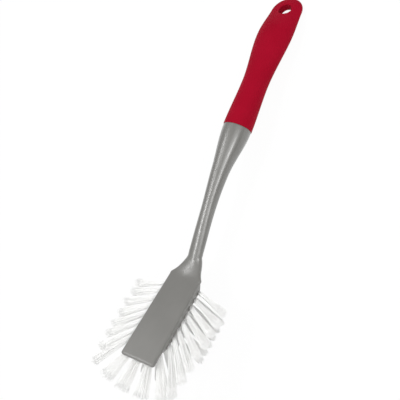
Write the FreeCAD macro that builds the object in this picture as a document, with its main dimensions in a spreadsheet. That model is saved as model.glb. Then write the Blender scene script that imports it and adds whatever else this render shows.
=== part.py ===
"""Dish brush: moulded head, neck and shaft, soft grip with a hang hole, and anchored tufts.

The pieces are modelled in the head's own axes: the back of the head is the plane z = 0, x runs from
the head's tip to the handle's end and y across the head. At the end every piece gets the same
placement, which lays the brush on a table: it rests on its lowest tufts and on the underside of the
grip, with z = 0 at the table and the origin under the middle of its box.
"""
import FreeCAD
import Part
import math
import os
import Sketcher
from FreeCAD import Placement, Rotation, Vector

# Driving dimensions, in millimetres and degrees.
SIZES = {
    # head plate
    "head_length": 67.4,
    "tip_width": 28.8,
    "rear_width": 26.8,
    "plate_thickness": 3.0,
    "tip_corner_radius": 1.8,
    "ridge_radius": 1.4,
    # tuft block under the plate
    "lip_length": 12.4,
    "block_corner_radius": 7.0,
    "wall_depth": 6.0,
    "crown_depth": 13.0,
    "crown_flat": 10.0,
    # flange, in which the head narrows on both sides of the neck
    "flange_length": 20.0,
    "flange_end_width": 7.0,
    "flange_root_depth": 8.0,
    "flange_end_depth": 1.0,
    "flange_squareness": 8.0,
    "flange_ease": 1.4,
    # neck, shaft and grip, by stations: x is measured from the head's rear edge
    "root_x": -3.4,
    "root_z": -9.5,
    "root_width": 8.0,
    "root_thickness": 5.0,
    "neck_x": 20.0,
    "neck_z": 3.1,
    "neck_width": 11.6,
    "neck_thickness": 8.0,
    "shaft_x": 47.0,
    "shaft_z": 16.9,
    "shaft_width": 11.0,
    "shaft_thickness": 10.3,
    "swell_x": 75.0,
    "swell_z": 29.1,
    "swell_width": 14.2,
    "swell_thickness": 13.2,
    "grip_x": 109.0,
    "grip_z": 38.7,
    "grip_width": 22.4,
    "grip_thickness": 21.0,
    "waist_x": 143.6,
    "waist_z": 48.5,
    "waist_width": 20.7,
    "waist_thickness": 17.0,
    "belly_x": 185.6,
    "belly_z": 59.8,
    "belly_width": 28.9,
    "belly_thickness": 15.5,
    "eye_x": 207.4,
    "eye_z": 63.0,
    "eye_width": 26.2,
    "eye_thickness": 7.0,
    # soft sleeve over the tang
    "sleeve_wall": 1.8,
    "sleeve_proud": 0.35,
    "hang_hole_diameter": 10.0,
    "hang_hole_lining": 1.6,
    # tuft holes, tufts and anchors
    "hole_diameter": 3.2,
    "hole_depth": 5.7,
    "hole_runout": 4.0,
    "tuft_clearance": 0.1,
    "tuft_collar": 2.5,
    "anchor_thickness": 0.4,
    "anchor_height": 1.6,
    "anchor_fold": 1.0,
    # rows of tufts along the head
    "row_pitch": 6.2,
    "row_margin": 5.0,
    # outer row of tufts
    "side_setback": 6.5,
    "row_drop": 0.3,
    "side_droop": 1.0,
    "side_tilt_at_tip": 51.0,
    "side_tilt_at_neck": 17.5,
    "side_free_at_tip": 33.5,
    "side_free_at_neck": 26.5,
    "side_end_at_tip": 6.0,
    "side_end_at_neck": 7.8,
    "tip_count": 4,
    "tip_pitch": 6.2,
    "tip_fan": 20.0,
    "tip_droop": 16.0,
    "tip_free_length": 33.5,
    "tip_end_diameter": 10.0,
    # inner rows of tufts
    "under_offset": 6.2,
    "under_droop": 54.0,
    "under_tilt": 12.0,
    "front_count": 3,
    "front_setback": 7.0,
    "front_pitch": 6.0,
    "front_fan": 28.0,
    "middle_setback": 7.0,
    "middle_tilt": 8.0,
    "inner_end_diameter": 6.0,
    "trim_depth": 37.0,
}

# How finely the forms are divided.
OVAL_SIDES = 24
TANG_SIDES = 12
TUFT_SIDES = 10
HALF_SIDE = Rotation(Vector(0, 0, 1), 180 / TUFT_SIDES)
FLANGE_SECTIONS = 6
SHAFT_SECTIONS = 9
GRIP_SECTIONS = 9
TANG_SECTIONS = 6
END_SECTIONS = 6
END_TURN = 80
STEP = 0.5
TILT_STEPS = 40
FACET = 0.1

doc = FreeCAD.newDocument("dish_brush")
sheet = doc.addObject("Spreadsheet::Sheet", "Sizes")


def fill_sheet():
    """One row per driving dimension: its name, and its value under that name."""
    for row, (alias, value) in enumerate(SIZES.items(), start=1):
        sheet.set(f"A{row}", alias)
        sheet.set(f"B{row}", str(value))
        sheet.setAlias(f"B{row}", alias)
    doc.recompute()


def size(alias):
    """A driving dimension, read from the sheet."""
    return float(sheet.get(alias))


def bind(item, **expressions):
    """Tie properties of an object to cells of the sheet."""
    for name, expression in expressions.items():
        item.setExpression(name, expression)
    return item


def boolean(kind, name, base, tool):
    """A cut, fuse or common of two objects."""
    result = doc.addObject(kind, name)
    result.Base = base
    result.Tool = tool
    return result


def feature(name, shape):
    """An object that holds a lofted shape."""
    holder = doc.addObject("Part::Feature", name)
    holder.Shape = shape
    return holder


# Head

def half_width(x):
    """Half the head's width at x: the plan outline tapers from the tip to the rear edge."""
    taper = (size("rear_width") - size("tip_width")) / size("head_length")
    return (size("tip_width") + taper * x) / 2


def crown_height(y):
    """Height of the block's front at y: flat along the middle, sloping up to the walls."""
    slope = (size("crown_depth") - size("wall_depth")) * 2 / (size("tip_width") - size("crown_flat"))
    return -size("crown_depth") + slope * max(abs(y) - size("crown_flat") / 2, 0)


def edge_names(shape, wanted):
    """Names of the edges of a shape whose ends and middle all satisfy a test."""
    names = []
    for number, edge in enumerate(shape.Edges, start=1):
        middle = edge.valueAt((edge.FirstParameter + edge.LastParameter) / 2)
        points = [vertex.Point for vertex in edge.Vertexes] + [middle]
        if all(wanted(point) for point in points):
            names.append(f"Edge{number}")
    return names


def round_edges(body, name, wanted, radius):
    """A fillet on the edges of a body's last feature that satisfy a test."""
    doc.recompute()
    base = body.Tip
    fillet = body.newObject("PartDesign::Fillet", name)
    fillet.Base = (base, edge_names(base.Shape, wanted))
    bind(fillet, Radius=radius)
    return fillet


def outline_slab(name, start, start_width, depth):
    """A slab of the head's plan outline, from x = start to the rear edge, with its top at the back."""
    body = doc.addObject("PartDesign::Body", name)
    sketch = body.newObject("Sketcher::SketchObject", name + "_outline")
    plane = [item for item in body.Origin.OriginFeatures if item.Role == "XY_Plane"][0]
    sketch.AttachmentSupport = [(plane, "")]
    sketch.MapMode = "FlatFace"
    rear = size("head_length")
    front = size("lip_length")
    corners = [Vector(front, -half_width(front), 0), Vector(rear, -half_width(rear), 0)]
    corners += [Vector(rear, half_width(rear), 0), Vector(front, half_width(front), 0)]
    for number, corner in enumerate(corners):
        sketch.addGeometry(Part.LineSegment(corner, corners[(number + 1) % len(corners)]))
    for number in range(len(corners)):
        sketch.addConstraint(Sketcher.Constraint("Coincident", number, 2, (number + 1) % len(corners), 1))
    sketch.addConstraint(Sketcher.Constraint("Symmetric", 0, 1, 2, 2, -1))
    sketch.addConstraint(Sketcher.Constraint("Symmetric", 0, 2, 1, 2, -1))
    rear_span = 2 * half_width(rear)
    front_span = 2 * half_width(front)
    named = {
        "rear": (Sketcher.Constraint("DistanceX", -1, 1, 0, 2, rear), "Sizes.head_length"),
        "rear_span": (Sketcher.Constraint("DistanceY", 1, 1, 1, 2, rear_span), "Sizes.rear_width"),
        "front_span": (Sketcher.Constraint("DistanceY", 3, 2, 3, 1, front_span), start_width),
    }
    if start:
        named["front"] = (Sketcher.Constraint("DistanceX", -1, 1, 0, 1, front), start)
    else:
        sketch.addConstraint(Sketcher.Constraint("PointOnObject", 0, 1, -2))
    for label, (constraint, expression) in named.items():
        sketch.renameConstraint(sketch.addConstraint(constraint), label)
        sketch.setExpression("Constraints." + label, expression)
    pad = body.newObject("PartDesign::Pad", name + "_pad")
    pad.Profile = sketch
    pad.Reversed = True
    bind(pad, Length=depth)
    return body


def make_head():
    """Flat plate with a thin lip at the tip, over a block whose front is crowned for the tufts."""
    rear = size("head_length")
    lip = size("lip_length")
    near = size("ridge_radius") / 2

    plate = outline_slab("head_plate", "", "Sizes.tip_width", "Sizes.plate_thickness")
    round_edges(plate, "tip_corners", lambda p: p.x < near and abs(p.y) > half_width(0) - near,
                "Sizes.tip_corner_radius")
    round_edges(plate, "back_ridge",
                lambda p: p.z > -near and (p.x < rear - near or abs(p.y) > half_width(rear) - near),
                "Sizes.ridge_radius")

    taper = "(Sizes.rear_width - Sizes.tip_width) / Sizes.head_length"
    lip_width = f"Sizes.tip_width + {taper} * Sizes.lip_length"
    block = outline_slab("tuft_block", "Sizes.lip_length", lip_width, "Sizes.crown_depth")
    round_edges(block, "block_tip_corners", lambda p: p.x < lip + near and abs(p.y) > near,
                "Sizes.block_corner_radius")

    walls = doc.addObject("Part::Box", "block_walls")
    bind(walls, Length="Sizes.head_length", Width="Sizes.tip_width", Height="Sizes.wall_depth")
    walls.Placement.Base = Vector(0, -size("tip_width") / 2, -size("wall_depth"))
    slopes = doc.addObject("Part::Wedge", "block_slopes")
    bind(slopes, Xmax="Sizes.head_length", X2max="Sizes.head_length")
    bind(slopes, Ymin="Sizes.wall_depth", Ymax="Sizes.crown_depth")
    bind(slopes, Zmin="-Sizes.tip_width / 2", Zmax="Sizes.tip_width / 2")
    bind(slopes, Z2min="-Sizes.crown_flat / 2", Z2max="Sizes.crown_flat / 2")
    slopes.Xmin = 0
    slopes.X2min = 0
    slopes.Placement.Rotation = Rotation(Vector(1, 0, 0), -90)
    crown = boolean("Part::Fuse", "crown", walls, slopes)
    crowned = boolean("Part::Common", "crowned_block", block, crown)
    return boolean("Part::Fuse", "head", plate, crowned)


# Handle

STATIONS = ["root", "neck", "shaft", "swell", "grip", "waist", "belly", "eye"]


def station_x(name):
    """Where a station lies along the brush."""
    return size("head_length") + size(name + "_x")


def smooth_value(kind, x):
    """A value along the handle: a curve through the stations that never swings past them."""
    xs = [station_x(name) for name in STATIONS]
    values = [size(name + "_" + kind) for name in STATIONS]
    gaps = [after - before for before, after in zip(xs, xs[1:])]
    slopes = [(after - before) / gap for before, after, gap in zip(values, values[1:], gaps)]
    tangents = [slopes[0]]
    for before, after in zip(slopes, slopes[1:]):
        tangents.append(2 * before * after / (before + after) if before * after > 0 else 0)
    tangents.append(slopes[-1])
    number = max([index for index in range(len(gaps)) if xs[index] <= x], default=0)
    share = (x - xs[number]) / gaps[number]
    return hermite(share, values[number], values[number + 1],
                   tangents[number] * gaps[number], tangents[number + 1] * gaps[number])


def hermite(share, first, last, first_rise, last_rise):
    """A cubic from first to last with the given rises at its ends."""
    left = 1 - share
    ends = first * left ** 2 * (1 + 2 * share) + last * share ** 2 * (3 - 2 * share)
    return ends + first_rise * share * left ** 2 - last_rise * share ** 2 * left


def handle_point(x):
    """Centre of the handle's section at x."""
    return Vector(x, 0, smooth_value("z", x))


def handle_axes(x):
    """Directions along the handle and out of its top at x."""
    before = max(x - STEP, station_x("root"))
    after = min(x + STEP, station_x("eye"))
    along = (handle_point(after) - handle_point(before)).normalize()
    return along, Vector(-along.z, 0, along.x)


def even_steps(first, last, count):
    """Evenly spaced values from first to last."""
    return [first + (last - first) * number / (count - 1) for number in range(count)]


def signed_power(value, power):
    """A power that keeps the sign of its base."""
    return math.copysign(abs(value) ** power, value)


def section_points(centre, up, half_span, half_height, squareness=2, sides=OVAL_SIDES):
    """Points round an oval, at a squareness of 2, or a rounded rectangle, at a higher one."""
    points = []
    for number in range(sides):
        turn = 2 * math.pi * number / sides - math.pi / 2
        across = half_span * signed_power(math.cos(turn), 2 / squareness)
        above = half_height * signed_power(math.sin(turn), 2 / squareness)
        points.append(centre + Vector(0, across, 0) + up * above)
    return points


def grip_points(x, inset, sides=OVAL_SIDES):
    """Points round the handle's oval section at x, drawn in by an inset."""
    half_span = smooth_value("width", x) / 2 - inset
    half_height = smooth_value("thickness", x) / 2 - inset
    return section_points(handle_point(x), handle_axes(x)[1], half_span, half_height, sides=sides)


def loft(sections, ruled=False):
    """A solid through closed sections."""
    return Part.makeLoft([Part.makePolygon(points + points[:1]) for points in sections], True, ruled)


def make_flange():
    """The flange behind the head: flush with its back, as wide as its rear edge, drawn in to the neck."""
    root_half_span = size("rear_width") / 2
    end_half_span = size("flange_end_width") / 2
    squareness = size("flange_squareness")
    sections = []
    for share in even_steps(0, 1, FLANGE_SECTIONS):
        left = (1 - share) ** size("flange_ease")
        half_span = end_half_span + (root_half_span - end_half_span) * left
        depth = size("flange_root_depth") + (size("flange_end_depth") - size("flange_root_depth")) * share
        centre = Vector(size("head_length") + size("flange_length") * share, 0, -depth / 2)
        sections.append(section_points(centre, Vector(0, 0, 1), half_span, depth / 2, squareness))
    return feature("flange", loft(sections))


def make_shaft():
    """The round spine from inside the head to the sleeve's edge, which stands a little proud of it."""
    xs = even_steps(station_x("root"), station_x("grip"), SHAFT_SECTIONS)
    step = size("sleeve_proud") / (len(xs) - 1)
    return feature("shaft", loft([grip_points(x, step * number) for number, x in enumerate(xs)]))


def round_end(inset, sides):
    """The grip's round end: the section at the eye, drawn in along an arc about the eye."""
    eye_x = station_x("eye")
    centre = handle_point(eye_x)
    along = handle_axes(eye_x)[0]
    radius = smooth_value("width", eye_x) / 2 - inset
    section = grip_points(eye_x, inset, sides)
    rings = []
    for turn in even_steps(0, math.radians(END_TURN), END_SECTIONS):
        shift = along * radius * math.sin(turn)
        rings.append([centre + shift + (point - centre) * math.cos(turn) for point in section])
    faces = [Part.Face(Part.makePolygon(ring + ring[:1])) for ring in (rings[0], rings[-1])]
    for inner, outer in zip(rings, rings[1:]):
        for number in range(sides):
            following = (number + 1) % sides
            corners = [inner[number], inner[following], outer[following], outer[number], inner[number]]
            faces.append(Part.Face(Part.makePolygon(corners)))
    return Part.makeSolid(Part.makeShell(faces))


def grip_form(inset, sides, sections, ruled):
    """The grip's outer form drawn in by an inset: a loft along the handle and a round end about the eye."""
    xs = even_steps(station_x("grip"), station_x("eye"), sections)
    length = loft([grip_points(x, inset, sides) for x in xs], ruled)
    return length.fuse(round_end(inset, sides))


def eye_bore(name, radius):
    """A cylinder through the grip's eye."""
    bore = doc.addObject("Part::Cylinder", name)
    bind(bore, Radius=radius, Height="2 * Sizes.eye_thickness")
    up = handle_axes(station_x("eye"))[1]
    base = handle_point(station_x("eye")) - up * size("eye_thickness")
    bore.Placement = Placement(base, Rotation(Vector(0, 0, 1), up))
    return bore


def make_tang():
    """Core of the handle inside the sleeve, with an eye that leaves room for the hang hole's lining."""
    tang = feature("tang_form", grip_form(size("sleeve_wall"), TANG_SIDES, TANG_SECTIONS, True))
    bore = eye_bore("tang_eye", "Sizes.hang_hole_diameter / 2 + Sizes.hang_hole_lining")
    return boolean("Part::Cut", "tang", tang, bore)


def make_sleeve(tang):
    """Soft sleeve moulded over the tang and through its eye."""
    outer = feature("sleeve_form", grip_form(0, OVAL_SIDES, GRIP_SECTIONS, False))
    shell = boolean("Part::Cut", "sleeve_shell", outer, tang)
    hole = eye_bore("hang_hole", "Sizes.hang_hole_diameter / 2")
    return boolean("Part::Cut", "grip_sleeve", shell, hole)


# Tufts

def direction(fan, droop):
    """A unit vector: fan is its angle from the tip's direction, droop its angle below the back."""
    level = math.cos(math.radians(droop))
    fan = math.radians(fan)
    return Vector(-level * math.cos(fan), level * math.sin(fan), -math.sin(math.radians(droop)))


def row_places(start):
    """Where the tufts of a row along the head lie, as many as fit before the margin at the rear."""
    room = size("head_length") - size("row_margin") - start
    count = int(room / size("row_pitch")) + 1
    return [start + size("row_pitch") * number for number in range(count)]


def along_row(alias, share):
    """A value that changes evenly along the outer row, from the tip to the neck."""
    return size(alias + "_at_tip") * (1 - share) + size(alias + "_at_neck") * share


def side_tufts():
    """Outer row along both sides: the tufts lean more towards the tip the nearer they are to it."""
    xs = row_places(size("lip_length") + size("side_setback"))
    for number, x in enumerate(xs):
        share = number / (len(xs) - 1)
        tilt = along_row("side_tilt", share)
        free = along_row("side_free", share)
        end_diameter = f"Sizes.side_end_at_tip * {1 - share} + Sizes.side_end_at_neck * {share}"
        for side, sign in (("left", 1), ("right", -1)):
            mouth = Vector(x, sign * half_width(x), crown_height(half_width(x)) - size("row_drop"))
            outward = direction(sign * (90 - tilt), size("side_droop"))
            yield f"side_tuft_{side}_{number + 1}", mouth, outward, free, end_diameter


def tip_tufts():
    """Outer row across the tip of the block, fanned about the head's middle line."""
    count = int(size("tip_count"))
    height = -size("wall_depth") - size("row_drop")
    radius = size("block_corner_radius")
    flat = half_width(size("lip_length")) - radius
    for number in range(count):
        place = number - (count - 1) / 2
        y = place * size("tip_pitch")
        bend = max(abs(y) - flat, 0)
        mouth = Vector(size("lip_length") + radius - math.sqrt(radius ** 2 - bend ** 2), y, height)
        outward = direction(place * size("tip_fan"), size("tip_droop"))
        yield f"tip_tuft_{number + 1}", mouth, outward, size("tip_free_length"), "Sizes.tip_end_diameter"


def trimmed_length(mouth, outward):
    """Free length of a tuft whose end reaches down to the trimmed level."""
    end_radius = size("inner_end_diameter") / 2
    level = math.sqrt(1 - outward.z ** 2)
    return (size("trim_depth") + mouth.z - end_radius * level) / -outward.z


def inner_tufts():
    """Second row under both sides and behind the tip, and the row along the middle, all trimmed level."""
    front_x = size("lip_length") + size("front_setback")
    middle_x = front_x + size("middle_setback")
    for number, x in enumerate(row_places(middle_x + size("row_pitch") / 2)):
        for side, sign in (("left", 1), ("right", -1)):
            y = sign * size("under_offset")
            outward = direction(sign * (90 - size("under_tilt")), size("under_droop"))
            yield f"under_tuft_{side}_{number + 1}", Vector(x, y, crown_height(y)), outward
    count = int(size("front_count"))
    for number in range(count):
        place = number - (count - 1) / 2
        y = place * size("front_pitch")
        outward = direction(place * size("front_fan"), size("under_droop"))
        yield f"front_tuft_{number + 1}", Vector(front_x, y, crown_height(y)), outward
    for number, x in enumerate(row_places(middle_x)):
        outward = direction(0, 90 - size("middle_tilt"))
        yield f"middle_tuft_{number + 1}", Vector(x, 0, crown_height(0)), outward


def all_tufts():
    """Name, mouth of the hole, outward direction, free length and end diameter of every tuft."""
    rows = list(side_tufts()) + list(tip_tufts())
    for name, mouth, outward in inner_tufts():
        rows.append((name, mouth, outward, trimmed_length(mouth, outward), "Sizes.inner_end_diameter"))
    return rows


def tuft_ring(name, radius, height):
    """A section of a bundle, at a height above the floor of its hole."""
    ring = doc.addObject("Part::RegularPolygon", name)
    ring.Polygon = TUFT_SIDES
    bind(ring, Circumradius=radius)
    ring.Placement = Placement(Vector(0, 0, height), HALF_SIDE)
    return ring


def anchor_wire(name):
    """A flat anchor across a hole, its ends against two of the hole's sides."""
    wire = doc.addObject("Part::Box", name)
    bind(wire, Length=f"Sizes.hole_diameter * cos({180 / TUFT_SIDES} deg)", Width="Sizes.anchor_thickness")
    bind(wire, Height="Sizes.anchor_height")
    span = size("hole_diameter") * math.cos(math.pi / TUFT_SIDES)
    wire.Placement.Base = Vector(-span / 2, -size("anchor_thickness") / 2, size("anchor_fold"))
    return wire


def make_tufts():
    """The holes, the anchor pressed across each one, and the folded bundles that the anchors hold.

    A bundle is modelled in its hole's own axes, whose z runs up from the floor, and then placed.
    """
    seat_radius = "Sizes.hole_diameter / 2 - Sizes.tuft_clearance"
    fold = tuft_ring("tuft_fold", seat_radius, 0)
    collar = tuft_ring("tuft_collar", seat_radius, size("hole_depth") + size("tuft_collar"))
    slot = anchor_wire("anchor_slot")
    holes = []
    anchors = []
    tufts = []
    for name, mouth, outward, free, end_diameter in all_tufts():
        turn = Rotation(Vector(1, 0, 0), Vector(), outward, "ZXY")
        seat = Placement(mouth - outward * size("hole_depth"), turn)

        hole = doc.addObject("Part::Prism", name + "_hole")
        hole.Polygon = TUFT_SIDES
        bind(hole, Circumradius="Sizes.hole_diameter / 2", Height="Sizes.hole_depth + Sizes.hole_runout")
        hole.Placement = seat * Placement(Vector(), HALF_SIDE)
        holes.append(hole)

        anchor = anchor_wire(name + "_anchor")
        anchor.Placement = seat * anchor.Placement
        anchors.append(anchor)

        bundle = doc.addObject("Part::Loft", name + "_bundle")
        end = tuft_ring(name + "_end", f"({end_diameter}) / 2", size("hole_depth") + free)
        bundle.Sections = [fold, collar, end]
        bundle.Solid = True
        bundle.Ruled = True
        bundle.Linearize = True
        tuft = boolean("Part::Cut", name, bundle, slot)
        tuft.Placement = seat
        tufts.append(tuft)
    return holes, anchors, tufts


def compound(name, items):
    """Several objects kept together as separate solids."""
    group = doc.addObject("Part::Compound", name)
    group.Links = items
    return group


# Laying the brush on the table

def corner_points(items):
    """Points on the surfaces of some objects."""
    return [point for item in items for point in item.Shape.tessellate(FACET)[0]]


def lowest(points, tilt):
    """Height of the lowest point when the handle's end is tilted down by an angle."""
    return min(point.z * math.cos(tilt) - point.x * math.sin(tilt) for point in points)


def table_placement(handle_items, tuft_items, items):
    """The placement in which tufts and grip touch the table together, centred over the origin."""
    grip_cloud = corner_points(handle_items)
    tuft_cloud = corner_points(tuft_items)
    level = 0.0
    steep = math.pi / 4
    for _ in range(TILT_STEPS):
        tilt = (level + steep) / 2
        if lowest(grip_cloud, tilt) > lowest(tuft_cloud, tilt):
            level = tilt
        else:
            steep = tilt
    turn = Rotation(Vector(0, 1, 0), math.degrees(tilt))
    turned = [turn.multVec(point) for point in corner_points(items)]
    middle = (min(point.x for point in turned) + max(point.x for point in turned)) / 2
    floor = min(point.z for point in turned)
    print("tilt of the head on the table:", round(math.degrees(tilt), 2))
    return Placement(Vector(-middle, 0, -floor), turn)


def check_document():
    """Stop if an object failed or a shape is missing or faulty."""
    for item in doc.Objects:
        if "Invalid" in item.State or "Error" in item.State:
            raise RuntimeError(f"{item.Name} failed: {item.State}")


def main():
    fill_sheet()
    head = make_head()
    doc.recompute()
    tang = make_tang()
    moulding = doc.addObject("Part::MultiFuse", "moulding")
    moulding.Shapes = [head, make_flange(), make_shaft(), tang]
    moulding.Refine = True
    sleeve = make_sleeve(tang)

    holes, anchors, tufts = make_tufts()
    body = boolean("Part::Cut", "handle_body", moulding, compound("tuft_holes", holes))
    sub_parts = [body, sleeve, compound("tuft_anchors", anchors)] + tufts
    doc.recompute()
    check_document()

    placement = table_placement([sleeve], tufts, sub_parts)
    for item in sub_parts:
        item.Placement = placement * item.Placement
    doc.recompute()
    check_document()

    os.makedirs("parts", exist_ok=True)
    for item in sub_parts:
        if item.Shape.isNull() or not item.Shape.isValid():
            raise RuntimeError(f"{item.Label} has no valid shape")
        item.Shape.exportStep(f"parts/{item.Label}.step")
        print(item.Label, len(item.Shape.Solids), round(item.Shape.Volume, 1))


main()
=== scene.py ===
"""Dish brush on a white table.

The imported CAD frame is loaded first. The moulding, the soft grip and every tuft are then dressed with
finer pieces, worked out in millimetres in the head's own axes, as in the CAD source: the back of the
head is z = 0, x runs from the head's tip to the handle's end and y across the head.
"""

import bmesh
import bpy
import math
import random
from collections import namedtuple
from mathutils import Matrix, Vector


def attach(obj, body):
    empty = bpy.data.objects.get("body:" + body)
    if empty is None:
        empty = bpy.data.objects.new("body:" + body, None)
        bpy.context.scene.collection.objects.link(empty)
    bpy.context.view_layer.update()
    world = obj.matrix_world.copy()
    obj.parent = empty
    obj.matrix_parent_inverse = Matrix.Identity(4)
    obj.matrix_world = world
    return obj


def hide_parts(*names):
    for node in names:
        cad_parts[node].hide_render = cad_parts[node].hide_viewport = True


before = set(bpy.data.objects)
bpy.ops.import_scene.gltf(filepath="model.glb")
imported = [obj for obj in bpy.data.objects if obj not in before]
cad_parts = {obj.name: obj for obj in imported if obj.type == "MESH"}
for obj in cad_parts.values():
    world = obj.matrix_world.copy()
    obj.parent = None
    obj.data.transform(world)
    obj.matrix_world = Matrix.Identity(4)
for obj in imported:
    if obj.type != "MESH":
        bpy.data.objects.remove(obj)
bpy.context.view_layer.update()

# The head's axes in the row frame: the middle of the back's edge at the tip, and the tilt on the table.
HEAD_TILT = math.radians(23.6344)
HEAD_TIP = Vector((-0.132314, 0.0, 0.057325))
HEAD_TO_ROW = Matrix.Translation(HEAD_TIP) @ Matrix.Rotation(HEAD_TILT, 4, "Y")
MM = 0.001
MM_TO_ROW = HEAD_TO_ROW @ Matrix.Scale(MM, 4)

# Head
HEAD_LENGTH = 67.4
TIP_WIDTH = 28.8
REAR_WIDTH = 26.8
PLATE_THICKNESS = 3.0
PLATE_EDGE = 0.4
RIDGE_RADIUS = 1.4
TIP_CORNER = 1.8
LEAST_CORNER = 0.8
REAR_CORNER = 0.3
LIP_LENGTH = 12.4
BLOCK_CORNER = 7.0
WALL_DEPTH = 6.0
CROWN_DEPTH = 13.0
CROWN_FLAT = 10.0

# Eased corners at the rear of the block: their reach along, across and up from the foot of the wall
REAR_EASE = (3.1, 2.7, 3.5)

# Flange, in which the head narrows on both sides of the neck, and its fillet to the spine
FLANGE_LENGTH = 20.0
FLANGE_END_WIDTH = 7.0
FLANGE_DEPTHS = (3.2, 1.0)
FLANGE_EASE = 1.4
FLANGE_EDGE = 1.2
FLANGE_SETBACK = 1.8
FLANGE_MERGE = 2.2
FILLET_REACH = 8.0
FILLET_SINK = 1.6
LEAST_REACH = 0.01

# Spans along x in which the neck is smoothed and the shaft is trued: each sets in, holds, wanes and ends
NECK_SPAN = (68.5, 72.0, 90.0, 95.0)
SHAFT_SPAN = (86.0, 94.0, 106.0, 107.0)

# Seam across the shaft, where its own skin takes over from the fused one
SEAM_X = 100.0
SEAM_OVERLAP = 3.0

# Handle stations: x, z, width, thickness
STATIONS = {
    "root": (64.0, -9.5, 8.0, 5.0),
    "neck": (87.4, 3.1, 11.6, 8.0),
    "shaft": (114.4, 16.9, 11.0, 10.3),
    "swell": (142.4, 29.1, 14.2, 13.2),
    "grip": (176.4, 38.7, 22.4, 21.0),
    "waist": (211.0, 48.5, 20.7, 17.0),
    "belly": (253.0, 59.8, 28.9, 15.5),
    "eye": (274.8, 63.0, 26.2, 7.0),
}
AXIS_STEP = 0.5
SLEEVE_PROUD = 0.35
TANG_INSET = 1.8
TANG_REACHES = (0.05, 4.0)
END_TURN = 88.0
HANG_HOLE_DIAMETER = 10.0
HANG_HOLE_REACH = 15.0

# Tuft rows
HOLE_DIAMETER = 3.2
HOLE_DEPTH = 5.7
HOLE_OVERSHOOT = 4.0
ROW_PITCH = 6.2
SIDE_START = 18.9
SIDE_COUNT = 8
ROW_DROP = 0.3
SIDE_DROOP = 1.0
SIDE_TILTS = (51.0, 17.5)
SIDE_LENGTHS = (33.5, 26.5)
SIDE_END = 8.0
SIDE_LEAN = 4.0
LEAN_EASE = 4
TIP_COUNT = 4
TIP_PITCH = 6.2
TIP_FAN = 20.0
TIP_DROOP = 16.0
TIP_LENGTH = 33.5
TIP_END = 13.0
INNER_COUNT = 6
INNER_END = 6.0
UNDER_START = 29.5
UNDER_OFFSET = 6.2
UNDER_DROOP = 54.0
UNDER_TILT = 12.0
FRONT_COUNT = 3
FRONT_X = 19.4
FRONT_PITCH = 6.0
FRONT_FAN = 28.0
MIDDLE_START = 26.4
MIDDLE_TILT = 8.0
TRIM_DEPTH = 37.0
TRIM_SLACK = 0.8
SIDES = (("left", 1), ("right", -1))

# Filaments of a tuft, and how far chance moves each one
FILAMENTS = 110
FILAMENT_DIAMETER = 0.27
FILAMENT_SIDES = 5
FILAMENT_STEPS = 6
FILAMENT_SUNK = 2.5
GOLDEN_TURN = math.pi * (3 - math.sqrt(5))
PACKING = 0.94
FLARE_POWER = 1.15
FLARE_SPREAD = (0.82, 1.0)
DOME = 0.7
STRAY_LEAN = 0.35
STRAY_TURN = 0.2
STRAY_TWIST = 0.15
STRAY_BOW = 0.3
STRAY_LENGTH = 0.6
STRAY_TRIM = 0.4
FIRST_SEED = 11

# Fineness of the skins
SECTION_POINTS = 72
NECK_RINGS = 60
ROOT_RINGS = 60
SHAFT_RINGS = 160
GRIP_RINGS = 80
END_RINGS = 13
CORNER_STEPS = 8
RIDGE_STEPS = 6
HALVINGS = 20
FOOT_STEPS = 3
HOLE_SIDES = 24
HANG_HOLE_SIDES = 64

# Fusing and smoothing of the skins; points further in than the skin's share belong to an end face
VOXEL = 0.3
SOFTENING = 0.5
HEAD_PASSES = 3
NECK_PASSES = 14
GRIP_PASSES = 6
SKIN_SHARE = 0.8

# Part of the noise texture's range that holds most of its values
NOISE_RANGE = (0.3, 0.7)

# Floor and sky
WHITE = (1, 1, 1, 1)
FLOOR_COLOUR = (0.95, 0.95, 0.95, 1)
FLOOR_GLOW = 0.955
FLOOR_REACH = 4.0
SKY_STRENGTHS = (0.36, 0.75)

# Soft boxes in the row frame, in metres and watts: place, width, length along x, power
LAMP_AIM = Vector((0, 0, 0.03))
LAMPS = {
    "near_box": ((-0.1, -0.5, 0.92), 0.4, 1.0, 2.1),
    "near_strip": ((0.08, -0.8, 0.8), 0.1, 0.22, 2.6),
    "left_strip": ((-0.13, 0.27, 0.92), 0.14, 0.3, 2.5),
    "left_box": ((0.18, 0.62, 0.888), 0.24, 0.15, 1.3),
}

# Camera: the photograph's width and focal length in pixels, its place and directions in the head's axes
PHOTO_WIDTH = 400
FOCAL_LENGTH = 706.3
SENSOR_WIDTH = 36.0
CLIP_START = 0.01
CAMERA_PLACE = Vector((-85.9, -275.0, 398.5))
CAMERA_RIGHT = Vector((0.478, -0.8077, -0.3452))
CAMERA_TOP = Vector((0.782, 0.2124, 0.586))

Tuft = namedtuple("Tuft", "name mouth outward free end lean")


# Forms of the head and the handle

def between(ends, share):
    """The value at a share of the way from the first end to the last."""
    return ends[0] + (ends[1] - ends[0]) * share


def half_width(x):
    return between((TIP_WIDTH, REAR_WIDTH), x / HEAD_LENGTH) / 2


def crown_height(y):
    slope = (CROWN_DEPTH - WALL_DEPTH) * 2 / (TIP_WIDTH - CROWN_FLAT)
    return -CROWN_DEPTH + slope * max(abs(y) - CROWN_FLAT / 2, 0)


def hermite(share, first, last, first_rise, last_rise):
    left = 1 - share
    ends = first * left ** 2 * (1 + 2 * share) + last * share ** 2 * (3 - 2 * share)
    return ends + first_rise * share * left ** 2 - last_rise * share ** 2 * left


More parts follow.
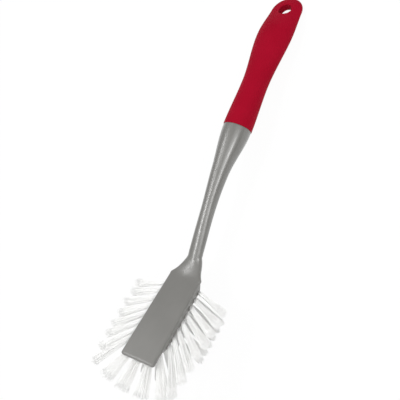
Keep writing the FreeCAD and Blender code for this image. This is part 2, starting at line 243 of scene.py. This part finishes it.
def station_curve(kind):
    """A value along the handle, on a curve through the stations that never swings past them."""
    rows = list(STATIONS.values())
    xs = [row[0] for row in rows]
    values = [row[kind] for row in rows]
    gaps = [after - before for before, after in zip(xs, xs[1:])]
    slopes = [(after - before) / gap for before, after, gap in zip(values, values[1:], gaps)]
    tangents = [slopes[0]]
    for before, after in zip(slopes, slopes[1:]):
        tangents.append(2 * before * after / (before + after) if before * after > 0 else 0)
    tangents.append(slopes[-1])

    def value(x):
        number = max([index for index in range(len(gaps)) if xs[index] <= x], default=0)
        share = (x - xs[number]) / gaps[number]
        return hermite(share, values[number], values[number + 1],
                       tangents[number] * gaps[number], tangents[number + 1] * gaps[number])

    return value


handle_rise, handle_width, handle_thickness = [station_curve(kind) for kind in (1, 2, 3)]


def handle_point(x):
    return Vector((x, 0, handle_rise(x)))


def handle_axes(x):
    """Directions along the handle and out of its top at x."""
    before = max(x - AXIS_STEP, STATIONS["root"][0])
    after = min(x + AXIS_STEP, STATIONS["eye"][0])
    along = (handle_point(after) - handle_point(before)).normalized()
    return along, Vector((-along.z, 0, along.x))


def half_sizes(x, inset=0.0):
    """Half of the handle's width and thickness at x, drawn in by an inset."""
    return handle_width(x) / 2 - inset, handle_thickness(x) / 2 - inset


def shaft_inset(x):
    """How far the bare shaft stays inside the handle's curve, so that the sleeve stands proud of it."""
    root_x = STATIONS["root"][0]
    return SLEEVE_PROUD * (x - root_x) / (STATIONS["grip"][0] - root_x)


def handle_ring(x, inset=0.0):
    """Points round the handle's oval section at x, drawn in by an inset."""
    centre = handle_point(x)
    up = handle_axes(x)[1]
    half_span, half_height = half_sizes(x, inset)
    points = []
    for number in range(SECTION_POINTS):
        turn = 2 * math.pi * number / SECTION_POINTS
        across = Vector((0, half_span * math.cos(turn), 0))
        points.append(centre + across + up * half_height * math.sin(turn))
    return points


def shaft_rings(first, last, count):
    """Sections of the bare shaft between two places along it."""
    places = [between((first, last), step / count) for step in range(count + 1)]
    return [handle_ring(x, shaft_inset(x)) for x in places]


def neck_ring(share):
    """A section of flange and spine together, with the corners between them filled to hollow curves."""
    x = HEAD_LENGTH + FLANGE_LENGTH * share
    narrowing = 1 - max(x - HEAD_LENGTH - FLANGE_SETBACK, 0) / (FLANGE_LENGTH - FLANGE_SETBACK)
    flange_reach = between((FLANGE_END_WIDTH, REAR_WIDTH), narrowing ** FLANGE_EASE) / 2
    half_depth = between(FLANGE_DEPTHS, share) / 2
    corner = min(FLANGE_EDGE, half_depth)
    fillet = FILLET_REACH * (1 - share ** 3) + LEAST_REACH
    spine_z = handle_rise(x) - FILLET_SINK * (1 - share) ** 2
    spine_half_width = handle_width(x) / 2
    spine_half_height = handle_thickness(x) / 2 / handle_axes(x)[0].x
    level_share = min(abs(2 * half_depth + spine_z) / spine_half_height, 1)
    spine_reach = spine_half_width * math.sqrt(1 - level_share ** 2)
    merge = math.hypot(flange_reach - spine_reach, FLANGE_MERGE * (1 - share ** 2))
    half_span = (flange_reach + spine_reach + merge) / 2
    highest = min(spine_z + spine_half_height, 0)
    lowest = max(spine_z - spine_half_height, -2 * half_depth)
    middle = (highest + lowest) / 2

    def gap(y, z):
        """Distance outside the section."""
        side = abs(y) - half_span + corner
        level = abs(z + half_depth) - half_depth + corner
        to_flange = math.hypot(max(side, 0), max(level, 0)) + min(max(side, level), 0) - corner
        ratio = math.hypot(y / spine_half_width, (z - spine_z) / spine_half_height)
        to_spine = (ratio - 1) * math.sqrt(spine_half_width * spine_half_height)
        overlap = max(fillet - abs(to_flange - to_spine), 0) / fillet
        return min(to_flange, to_spine) - overlap ** 2 * fillet / 4

    ring = []
    for step in range(2 * SECTION_POINTS):
        turn = math.pi * step / SECTION_POINTS
        inside = 0.0
        outside = REAR_WIDTH
        for _ in range(HALVINGS):
            radius = (inside + outside) / 2
            if gap(radius * math.cos(turn), middle + radius * math.sin(turn)) < 0:
                inside = radius
            else:
                outside = radius
        ring.append(Vector((x, inside * math.cos(turn), middle + inside * math.sin(turn))))
    return ring


# Mesh helpers

def skin(target, rings, closed=True):
    """A skin over rings of points, added to a bmesh, with or without its first end face."""
    loops = [[target.verts.new(point) for point in ring] for ring in rings]
    for lower, upper in zip(loops, loops[1:]):
        for number in range(len(lower)):
            following = (number + 1) % len(lower)
            target.faces.new((lower[number], lower[following], upper[following], upper[number]))
    if closed:
        target.faces.new(list(reversed(loops[0])))
    target.faces.new(loops[-1])


def circle(centre, axis, radius, sides):
    """Points round a circle about an axis."""
    turn = axis.to_track_quat("Z", "Y")
    points = []
    for number in range(sides):
        angle = 2 * math.pi * number / sides
        points.append(centre + turn @ Vector((radius * math.cos(angle), radius * math.sin(angle), 0)))
    return points


def rod(target, start, axis, length, radius, sides):
    """A round rod, added to a bmesh."""
    skin(target, [circle(start + axis * height, axis, radius, sides) for height in (0, length)])


def new_object(name, source):
    """An object from a bmesh, with its normals turned outwards."""
    bmesh.ops.recalc_face_normals(source, faces=source.faces)
    mesh = bpy.data.meshes.new(name)
    source.to_mesh(mesh)
    source.free()
    item = bpy.data.objects.new(name, mesh)
    bpy.context.scene.collection.objects.link(item)
    return item


def apply_modifiers(item):
    """Work an object's modifiers into its mesh."""
    bpy.context.view_layer.update()
    graph = bpy.context.evaluated_depsgraph_get()
    mesh = bpy.data.meshes.new_from_object(item.evaluated_get(graph))
    old = item.data
    item.modifiers.clear()
    item.data = mesh
    bpy.data.meshes.remove(old)


def trim(form, point, normal):
    """Take off what lies outside a plane, and give the edges of the cut."""
    parts = form.verts[:] + form.edges[:] + form.faces[:]
    made = bmesh.ops.bisect_plane(form, geom=parts, plane_co=point, plane_no=normal, clear_outer=True)
    return [part for part in made["geom_cut"] if isinstance(part, bmesh.types.BMEdge)]


def cut(item, tool):
    """Take one object out of another."""
    modifier = item.modifiers.new("cut", "BOOLEAN")
    modifier.operation = "DIFFERENCE"
    modifier.solver = "EXACT"
    modifier.use_self = True
    modifier.object = tool
    apply_modifiers(item)
    bpy.data.objects.remove(tool)


def add_softening(item, passes):
    smooth = item.modifiers.new("soften", "SMOOTH")
    smooth.factor = SOFTENING
    smooth.iterations = passes
    return smooth


def fuse(item, passes):
    """Fuse overlapping forms into one skin and soften its edges."""
    remesh = item.modifiers.new("fuse", "REMESH")
    remesh.mode = "VOXEL"
    remesh.voxel_size = VOXEL
    add_softening(item, passes)
    apply_modifiers(item)


def span_weight(x, span):
    """Weight of a place within a span along x, which eases in and out."""
    return min((x - span[0]) / (span[1] - span[0]), (span[3] - x) / (span[3] - span[2]), 1)


def blend(item, span, passes):
    """Smooth the joins of an object within a span along x."""
    group = item.vertex_groups.new(name="blend")
    for vertex in item.data.vertices:
        weight = span_weight(vertex.co.x, span)
        if weight > 0:
            group.add([vertex.index], weight, "REPLACE")
    add_softening(item, passes).vertex_group = group.name
    apply_modifiers(item)


def true_shaft(item, span):
    """Lay the shaft's skin exactly on its ovals within a span along x, apart from its end face."""
    for vertex in item.data.vertices:
        place = vertex.co.copy()
        weight = span_weight(place.x, span)
        if weight <= 0:
            continue
        x = place.x
        for _ in range(FOOT_STEPS):
            along, up = handle_axes(x)
            x = min(x + (place - handle_point(x)).dot(along) * along.x, span[3])
        above = (place - handle_point(x)).dot(up)
        half_span, half_height = half_sizes(x, shaft_inset(x))
        ratio = math.hypot(place.y / half_span, above / half_height)
        if ratio > SKIN_SHARE:
            shift = (Vector((0, place.y, 0)) + up * above) * (1 / ratio - 1)
            vertex.co = place + shift * weight


def finish_piece(item, material, slot, *nodes):
    """Put a piece in the row frame, shade it smooth, and let it stand for its CAD nodes."""
    item.data.transform(MM_TO_ROW)
    item.data.materials.clear()
    item.data.materials.append(material)
    for polygon in item.data.polygons:
        polygon.use_smooth = True
    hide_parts(*nodes)
    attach(item, "root")


# Materials

def new_material(name):
    """A new material with its node tree and main shader."""
    result = bpy.data.materials.new(name)
    result.use_nodes = True
    return result, result.node_tree, result.node_tree.nodes["Principled BSDF"]


def noise(tree, scale, detail=4.0):
    texture = tree.nodes.new("ShaderNodeTexNoise")
    texture.inputs["Scale"].default_value = scale
    texture.inputs["Detail"].default_value = detail
    place = tree.nodes.new("ShaderNodeTexCoord")
    tree.links.new(place.outputs["Object"], texture.inputs["Vector"])
    return texture.outputs["Fac"]


def add_gloss(tree, shader, value, low, high):
    """Roughness that a noise spreads over a range."""
    remap = tree.nodes.new("ShaderNodeMapRange")
    remap.inputs["From Min"].default_value = NOISE_RANGE[0]
    remap.inputs["From Max"].default_value = NOISE_RANGE[1]
    remap.inputs["To Min"].default_value = low
    remap.inputs["To Max"].default_value = high
    tree.links.new(value, remap.inputs["Value"])
    tree.links.new(remap.outputs["Result"], shader.inputs["Roughness"])


def add_colour(tree, shader, value, dark, light):
    """Colour that a noise spreads between two tones."""
    ramp = tree.nodes.new("ShaderNodeValToRGB")
    for element, position, tone in zip(ramp.color_ramp.elements, NOISE_RANGE, (dark, light)):
        element.position = position
        element.color = (*tone, 1)
    tree.links.new(value, ramp.inputs["Fac"])
    tree.links.new(ramp.outputs["Color"], shader.inputs["Base Color"])


def add_grain(tree, shader, value, strength, distance):
    bump = tree.nodes.new("ShaderNodeBump")
    bump.inputs["Strength"].default_value = strength
    bump.inputs["Distance"].default_value = distance
    tree.links.new(value, bump.inputs["Height"])
    tree.links.new(bump.outputs["Normal"], shader.inputs["Normal"])


def grey_plastic():
    """Satin grey polypropylene: faint flow clouds, a fine moulded grain and uneven gloss."""
    result, tree, shader = new_material("grey_plastic")
    clouds = noise(tree, scale=45)
    add_colour(tree, shader, clouds, dark=(0.129, 0.126, 0.116), light=(0.15, 0.147, 0.136))
    add_gloss(tree, shader, noise(tree, scale=260), low=0.3, high=0.4)
    shader.inputs["IOR"].default_value = 1.5
    shader.inputs["Specular IOR Level"].default_value = 0.8
    shader.inputs["Coat Weight"].default_value = 1.0
    shader.inputs["Coat Roughness"].default_value = 0.32
    add_grain(tree, shader, noise(tree, scale=2600), strength=0.12, distance=0.00004)
    return result


def red_rubber():
    """Soft red sleeve: matte, with a fine grain and slightly uneven colour."""
    result, tree, shader = new_material("red_rubber")
    clouds = noise(tree, scale=60)
    add_colour(tree, shader, clouds, dark=(0.29, 0.001, 0.014), light=(0.317, 0.002, 0.017))
    add_gloss(tree, shader, noise(tree, scale=300), low=0.54, high=0.66)
    shader.inputs["Specular IOR Level"].default_value = 0.05
    add_grain(tree, shader, noise(tree, scale=3200), strength=0.2, distance=0.00005)
    return result


def white_nylon():
    """White nylon filament: milky, a little gloss, with slight changes of tone."""
    result, tree, shader = new_material("white_nylon")
    tones = noise(tree, scale=900, detail=2)
    add_colour(tree, shader, tones, dark=(0.95, 0.95, 0.94), light=(0.99, 0.99, 0.985))
    add_gloss(tree, shader, noise(tree, scale=1500, detail=2), low=0.35, high=0.5)
    return result


def anchor_steel():
    """Flat anchor wire, hidden in the holes."""
    result, tree, shader = new_material("anchor_steel")
    shader.inputs["Metallic"].default_value = 1.0
    drawn = noise(tree, scale=2000)
    add_colour(tree, shader, drawn, dark=(0.5, 0.5, 0.51), light=(0.66, 0.66, 0.67))
    add_gloss(tree, shader, drawn, low=0.3, high=0.45)
    return result


# Tuft rows

def direction(fan, droop):
    """A unit vector: fan is its angle from the tip's direction, droop its angle below the back."""
    level = math.cos(math.radians(droop))
    fan = math.radians(fan)
    return Vector((-level * math.cos(fan), level * math.sin(fan), -math.sin(math.radians(droop))))


def outer_rows():
    """The tufts along both sides of the block and across its tip."""
    for number in range(SIDE_COUNT):
        share = number / (SIDE_COUNT - 1)
        x = SIDE_START + ROW_PITCH * number
        height = crown_height(half_width(x)) - ROW_DROP
        free = between(SIDE_LENGTHS, share)
        lean = SIDE_LEAN * (1 - share) ** LEAN_EASE
        for side, sign in SIDES:
            mouth = Vector((x, sign * half_width(x), height))
            outward = direction(sign * (90 - between(SIDE_TILTS, share)), SIDE_DROOP)
            yield Tuft(f"side_tuft_{side}_{number + 1}", mouth, outward, free, SIDE_END, lean)
    flat = half_width(LIP_LENGTH) - BLOCK_CORNER
    for number in range(TIP_COUNT):
        place = number - (TIP_COUNT - 1) / 2
        y = place * TIP_PITCH
        bend = max(abs(y) - flat, 0)
        x = LIP_LENGTH + BLOCK_CORNER - math.sqrt(BLOCK_CORNER ** 2 - bend ** 2)
        mouth = Vector((x, y, -WALL_DEPTH - ROW_DROP))
        outward = direction(place * TIP_FAN, TIP_DROOP)
        yield Tuft(f"tip_tuft_{number + 1}", mouth, outward, TIP_LENGTH, TIP_END, 0)


def inner_tuft(name, x, y, outward):
    """A tuft on the crown, trimmed level under the head, so that its free length is not given."""
    return Tuft(name, Vector((x, y, crown_height(y))), outward, None, INNER_END, 0)


def inner_rows():
    """The tufts under the block: both sides of the crown, behind the tip and along the middle."""
    for number in range(INNER_COUNT):
        x = UNDER_START + ROW_PITCH * number
        for side, sign in SIDES:
            outward = direction(sign * (90 - UNDER_TILT), UNDER_DROOP)
            yield inner_tuft(f"under_tuft_{side}_{number + 1}", x, sign * UNDER_OFFSET, outward)
    for number in range(FRONT_COUNT):
        place = number - (FRONT_COUNT - 1) / 2
        outward = direction(place * FRONT_FAN, UNDER_DROOP)
        yield inner_tuft(f"front_tuft_{number + 1}", FRONT_X, place * FRONT_PITCH, outward)
    for number in range(INNER_COUNT):
        x = MIDDLE_START + ROW_PITCH * number
        yield inner_tuft(f"middle_tuft_{number + 1}", x, 0, direction(0, 90 - MIDDLE_TILT))


tufts = list(outer_rows()) + list(inner_rows())


# Moulding: head, neck and shaft

def outline(start, tip_corner, inset=0.0):
    """The head's plan outline from x = start to the rear edge, its tip and sides drawn in by an inset."""
    corners = []
    tip = start + inset
    for x, sign, radius, first in ((tip, -1, tip_corner, 180), (HEAD_LENGTH, -1, REAR_CORNER, 270),
                                   (HEAD_LENGTH, 1, REAR_CORNER, 0), (tip, 1, tip_corner, 90)):
        side = 1 if x == tip else -1
        middle = Vector((x + side * radius, sign * (half_width(x) - inset - radius), 0))
        for step in range(CORNER_STEPS + 1):
            turn = math.radians(first + 90 * step / CORNER_STEPS)
            corners.append(middle + Vector((radius * math.cos(turn), radius * math.sin(turn), 0)))
    return corners


def lifted(points, z):
    return [Vector((point.x, point.y, z)) for point in points]


def plate_rings():
    """Sections of the plate, from its flat back over the rounded ridge to its eased lower edge."""
    rings = []
    for step in range(RIDGE_STEPS + 1):
        turn = math.radians(90 * step / RIDGE_STEPS)
        inset = RIDGE_RADIUS * (1 - math.sin(turn))
        corner = max(TIP_CORNER - inset, LEAST_CORNER)
        rings.append(lifted(outline(0, corner, inset), -RIDGE_RADIUS * (1 - math.cos(turn))))
    rings.append(lifted(outline(0, TIP_CORNER), -PLATE_THICKNESS + PLATE_EDGE))
    rings.append(lifted(outline(0, TIP_CORNER - PLATE_EDGE, PLATE_EDGE), -PLATE_THICKNESS))
    return rings


def block_form():
    """The block under the plate, with its sloped crown and eased rear corners, as a bmesh."""
    block = bmesh.new()
    skin(block, [lifted(outline(LIP_LENGTH, BLOCK_CORNER), z) for z in (-RIDGE_RADIUS, -CROWN_DEPTH)])
    slope = math.atan2(CROWN_DEPTH - WALL_DEPTH, (TIP_WIDTH - CROWN_FLAT) / 2)
    along, across, up = REAR_EASE
    planes = []
    for sign in (1, -1):
        crown_edge = Vector((0, sign * CROWN_FLAT / 2, -CROWN_DEPTH))
        planes.append((crown_edge, Vector((0, sign * math.sin(slope), -math.cos(slope)))))
        rear_corner = Vector((HEAD_LENGTH, sign * REAR_WIDTH / 2, -WALL_DEPTH + up))
        planes.append((rear_corner, Vector((1 / along, sign / across, -1 / up)).normalized()))
    for point, normal in planes:
        bmesh.ops.edgeloop_fill(block, edges=trim(block, point, normal))
    return block


def drill_holes(block):
    """Cut the tuft holes out of the block."""
    holes = bmesh.new()
    for tuft in tufts:
        start = tuft.mouth - tuft.outward * HOLE_DEPTH
        rod(holes, start, tuft.outward, HOLE_DEPTH + HOLE_OVERSHOOT, HOLE_DIAMETER / 2, HOLE_SIDES)
    cut(block, new_object("holes", holes))


def make_moulding(grey):
    """Head, neck and the start of the shaft fused into one skin, then the shaft's own skin to the grip."""
    moulding = new_object("moulding", block_form())
    drill_holes(moulding)
    forms = bmesh.new()
    forms.from_mesh(moulding.data)
    skin(forms, plate_rings())
    skin(forms, [neck_ring(number / (NECK_RINGS - 1)) for number in range(NECK_RINGS)])
    skin(forms, shaft_rings(STATIONS["root"][0], SEAM_X + SEAM_OVERLAP, ROOT_RINGS))
    forms.to_mesh(moulding.data)
    forms.free()
    fuse(moulding, HEAD_PASSES)
    blend(moulding, NECK_SPAN, NECK_PASSES)
    true_shaft(moulding, SHAFT_SPAN)

    whole = bmesh.new()
    whole.from_mesh(moulding.data)
    trim(whole, handle_point(SEAM_X), handle_axes(SEAM_X)[0])
    grip_x = STATIONS["grip"][0]
    tang_rings = [handle_ring(grip_x + reach, TANG_INSET) for reach in TANG_REACHES]
    skin(whole, shaft_rings(SEAM_X, grip_x, SHAFT_RINGS) + tang_rings, closed=False)
    bmesh.ops.recalc_face_normals(whole, faces=whole.faces)
    whole.to_mesh(moulding.data)
    whole.free()
    finish_piece(moulding, grey, "body_plastic", "handle_body")


# Soft grip

def make_grip(red):
    """Soft sleeve with its round end and the hang hole."""
    grip_x = STATIONS["grip"][0]
    eye_x = STATIONS["eye"][0]
    rings = [handle_ring(between((grip_x, eye_x), step / GRIP_RINGS)) for step in range(GRIP_RINGS + 1)]
    centre = handle_point(eye_x)
    along, up = handle_axes(eye_x)
    for step in range(1, END_RINGS + 1):
        turn = math.radians(END_TURN * step / END_RINGS)
        shift = along * handle_width(eye_x) / 2 * math.sin(turn)
        rings.append([centre + shift + (point - centre) * math.cos(turn) for point in handle_ring(eye_x)])
    form = bmesh.new()
    skin(form, rings)
    grip = new_object("soft_grip", form)
    hole = bmesh.new()
    start = centre - up * HANG_HOLE_REACH
    rod(hole, start, up, 2 * HANG_HOLE_REACH, HANG_HOLE_DIAMETER / 2, HANG_HOLE_SIDES)
    cut(grip, new_object("hang_hole_cut", hole))
    fuse(grip, GRIP_PASSES)
    finish_piece(grip, red, "soft_grip", "grip_sleeve")


# Tufts of single filaments

def filament(target, points):
    """A thin tube along points, added to a bmesh."""
    rings = []
    for number, point in enumerate(points):
        before = points[max(number - 1, 0)]
        after = points[min(number + 1, len(points) - 1)]
        rings.append(circle(point, after - before, FILAMENT_DIAMETER / 2, FILAMENT_SIDES))
    skin(target, rings)


def make_tuft(tuft, white, seed):
    """One bundle: filaments packed in the hole that flare and lean towards their cut ends."""
    chance = random.Random(seed)
    drift = Vector((-tuft.lean, 0, 0))
    if tuft.free:
        drift += Vector((chance.gauss(0, STRAY_LEAN), chance.gauss(0, STRAY_LEAN), 0))
    across = tuft.outward.orthogonal().normalized()
    beside = tuft.outward.cross(across)
    bundle = bmesh.new()
    for number in range(FILAMENTS):
        reach = math.sqrt((number + 0.5) / FILAMENTS)
        turn = number * GOLDEN_TURN + chance.uniform(-STRAY_TURN, STRAY_TURN)
        root = (HOLE_DIAMETER - FILAMENT_DIAMETER) / 2 * reach * PACKING
        tip = (tuft.end - FILAMENT_DIAMETER) / 2 * reach * chance.uniform(*FLARE_SPREAD)
        bow = chance.uniform(-STRAY_BOW, STRAY_BOW)
        spin = turn + chance.uniform(-STRAY_TWIST, STRAY_TWIST)
        if tuft.free:
            length = tuft.free - DOME * reach ** 2 + chance.gauss(0, STRAY_LENGTH)
        else:
            side = across * math.cos(spin) + beside * math.sin(spin)
            to_level = (TRIM_DEPTH + tuft.mouth.z + side.z * tip) / -tuft.outward.z
            length = to_level - TRIM_SLACK - chance.uniform(0, STRAY_TRIM)
        points = []
        for step in range(FILAMENT_STEPS + 1):
            share = step / FILAMENT_STEPS
            angle = between((turn, spin), share)
            side = across * math.cos(angle) + beside * math.sin(angle)
            sway = side.cross(tuft.outward) * bow * math.sin(math.pi * share)
            middle = tuft.mouth + tuft.outward * between((-FILAMENT_SUNK, length), share)
            spread = side * between((root, tip), share ** FLARE_POWER)
            points.append(middle + spread + sway + drift * share ** 2)
        filament(bundle, points)
    finish_piece(new_object("bristles_" + tuft.name, bundle), white, "bristle", tuft.name)


def make_tufts(white):
    for seed, tuft in enumerate(tufts, start=FIRST_SEED):
        make_tuft(tuft, white, seed)


def dress_anchors(steel):
    """The anchors keep their CAD mesh and take on a finer material."""
    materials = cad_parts["tuft_anchors"].data.materials
    materials.clear()
    materials.append(steel)


# Stage

def worked_out(tree, operation, first, second):
    """A maths node on two values."""
    node = tree.nodes.new("ShaderNodeMath")
    node.operation = operation
    tree.links.new(first, node.inputs[0])
    tree.links.new(second, node.inputs[1])
    return node.outputs[0]


def mix_shaders(tree, share, first, second, output):
    """Lead two shaders to an output, mixed by the share of the second."""
    mix = tree.nodes.new("ShaderNodeMixShader")
    tree.links.new(share, mix.inputs["Fac"])
    tree.links.new(first.outputs[0], mix.inputs[1])
    tree.links.new(second.outputs[0], mix.inputs[2])
    tree.links.new(mix.outputs[0], tree.nodes[output].inputs["Surface"])


def make_floor():
    """A wide white table whose colour reaches white for the camera and that keeps a soft shadow."""
    form = bmesh.new()
    bmesh.ops.create_grid(form, x_segments=1, y_segments=1, size=FLOOR_REACH)
    floor = new_object("floor", form)
    result, tree, shader = new_material("white_floor")
    tree.nodes.remove(shader)
    paper = tree.nodes.new("ShaderNodeBsdfDiffuse")
    paper.inputs["Color"].default_value = FLOOR_COLOUR
    glow = tree.nodes.new("ShaderNodeEmission")
    glow.inputs["Color"].default_value = WHITE
    glow.inputs["Strength"].default_value = 1.0
    rays = tree.nodes.new("ShaderNodeLightPath").outputs
    seen = worked_out(tree, "MAXIMUM", rays["Is Camera Ray"], rays["Is Glossy Ray"])
    seen = worked_out(tree, "MAXIMUM", seen, rays["Is Transmission Ray"])
    most = tree.nodes.new("ShaderNodeValue").outputs[0]
    most.default_value = FLOOR_GLOW
    mix_shaders(tree, worked_out(tree, "MULTIPLY", seen, most), paper, glow, "Material Output")
    floor.data.materials.append(result)


def make_sky():
    """A sky that brightens from the horizon to overhead, and that the camera sees as white."""
    world = bpy.data.worlds.new("studio")
    bpy.context.scene.world = world
    world.use_nodes = True
    tree = world.node_tree
    sky = tree.nodes["Background"]
    sky.inputs["Color"].default_value = WHITE
    place = tree.nodes.new("ShaderNodeTexCoord")
    split = tree.nodes.new("ShaderNodeSeparateXYZ")
    tree.links.new(place.outputs["Generated"], split.inputs[0])
    height = tree.nodes.new("ShaderNodeMapRange")
    height.inputs["To Min"].default_value = SKY_STRENGTHS[0]
    height.inputs["To Max"].default_value = SKY_STRENGTHS[1]
    tree.links.new(split.outputs["Z"], height.inputs["Value"])
    tree.links.new(height.outputs["Result"], sky.inputs["Strength"])
    backdrop = tree.nodes.new("ShaderNodeBackground")
    backdrop.inputs["Color"].default_value = WHITE
    backdrop.inputs["Strength"].default_value = 1.0
    rays = tree.nodes.new("ShaderNodeLightPath").outputs
    mix_shaders(tree, rays["Is Camera Ray"], sky, backdrop, "World Output")


def make_lamp(name, place, width, length, power):
    """A soft box that faces the brush, its length along x."""
    lamp = bpy.data.lights.new(name, "AREA")
    lamp.shape = "RECTANGLE"
    lamp.size = width
    lamp.size_y = length
    lamp.energy = power
    item = bpy.data.objects.new(name, lamp)
    back = (Vector(place) - LAMP_AIM).normalized()
    side = Vector((1, 0, 0)).cross(back).normalized()
    turn = Matrix((side, back.cross(side), back)).transposed().to_4x4()
    item.matrix_world = Matrix.Translation(place) @ turn
    bpy.context.scene.collection.objects.link(item)


def make_camera():
    """The photograph's view, worked out from the head's outline and the handle's run."""
    lens = bpy.data.cameras.new("photo_view")
    lens.sensor_fit = "HORIZONTAL"
    lens.sensor_width = SENSOR_WIDTH
    lens.lens = SENSOR_WIDTH * FOCAL_LENGTH / PHOTO_WIDTH
    lens.clip_start = CLIP_START
    camera = bpy.data.objects.new("photo_view", lens)
    right = CAMERA_RIGHT.normalized()
    back = right.cross(CAMERA_TOP).normalized()
    turn = Matrix((right, back.cross(right), back)).transposed().to_4x4()
    camera.matrix_world = HEAD_TO_ROW @ Matrix.Translation(CAMERA_PLACE * MM) @ turn
    bpy.context.scene.collection.objects.link(camera)
    bpy.context.scene.camera = camera


bpy.context.scene.view_settings.view_transform = "Standard"
bpy.context.scene.cycles.max_bounces = 16
bpy.context.scene.cycles.diffuse_bounces = 12
make_moulding(grey_plastic())
make_grip(red_rubber())
make_tufts(white_nylon())
dress_anchors(anchor_steel())
make_floor()
make_sky()
for lamp_name, lamp_values in LAMPS.items():
    make_lamp(lamp_name, *lamp_values)
make_camera()
